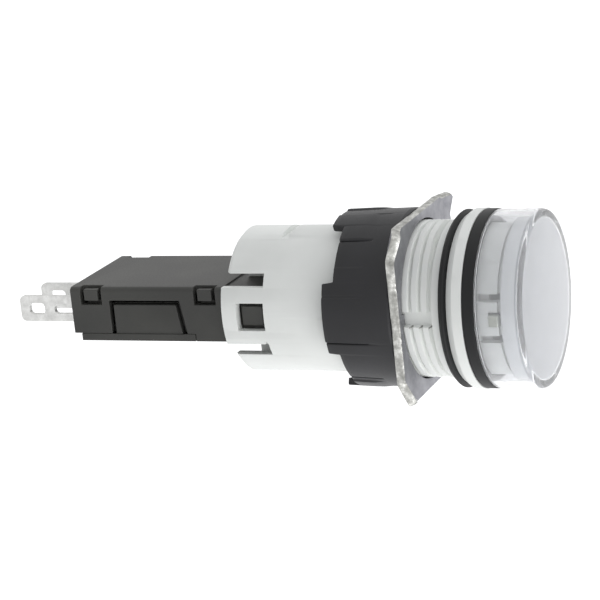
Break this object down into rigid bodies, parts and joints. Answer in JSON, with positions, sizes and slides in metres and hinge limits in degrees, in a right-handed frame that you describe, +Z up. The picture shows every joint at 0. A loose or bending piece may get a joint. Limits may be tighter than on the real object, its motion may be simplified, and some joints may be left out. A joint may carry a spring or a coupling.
{
  "type": "panel pilot light",
  "caption": "Round 16 mm panel pilot light with clear cap, threaded white head, square locking plate, black ring nut and snap-in light block with solder tags.",
  "frame": {"origin": "centre of the panel gasket's rear face, on the lamp's axis, where the lamp sits against the front of the panel", "axes": "+Y along the lamp from the cap through the panel to the tags, X along the flat light block's width, +Z up along its thickness"},
  "size_m": [0.0186, 0.0583, 0.0184],
  "materials": {
    "clear_plastic": "clear moulded polycarbonate, polished",
    "frosted_plastic": "frosted translucent white polycarbonate",
    "seal_rubber": "black moulded seal rubber, matt",
    "white_plastic": "white moulded polyamide, satin",
    "reflector_plastic": "white moulded plastic, satin",
    "zinc_plated_steel": "stamped and zinc plated steel, lightly scuffed",
    "nut_plastic": "black moulded polyamide, satin",
    "block_plastic": "black moulded polyamide, matt",
    "board_laminate": "green glass-epoxy laminate",
    "led_epoxy": "clear cast epoxy",
    "component_case": "moulded component case",
    "tinned_brass": "tin-plated brass, satin"
  },
  "bodies": {
    "lamp": {"lens_cap": "clear_plastic", "diffuser": "frosted_plastic", "cap_seal": "seal_rubber", "head_body": "white_plastic", "panel_gasket": "seal_rubber", "reflector": "reflector_plastic", "block_cover": "block_plastic", "block_base": "block_plastic", "circuit_board": "board_laminate", "led_lens": "led_epoxy", "led_leads": "tinned_brass", "series_resistor_left": "component_case", "series_resistor_right": "component_case", "rectifier": "component_case", "capacitor": "component_case", "protection_diode": "component_case", "tag_left": "tinned_brass", "tag_right": "tinned_brass"},
    "plate": {"locking_plate": "zinc_plated_steel"},
    "nut": {"fixing_nut": "nut_plastic"}
  },
  "joints": [
    {"name": "plate_slide", "type": "slide", "parent": "lamp", "child": "plate", "axis": [0, 1, 0], "range_m": [-0.0028, 0.002]},
    {"name": "nut_turn", "type": "hinge", "parent": "plate", "child": "nut", "pos_m": [0, 0.008, 0], "axis": [0, 1, 0], "range_deg": [-1009, 721]}
  ],
  "couplings": [
    {"joint": "nut_turn", "follows": "plate_slide", "rad_per_m": 6283.2}
  ]
}
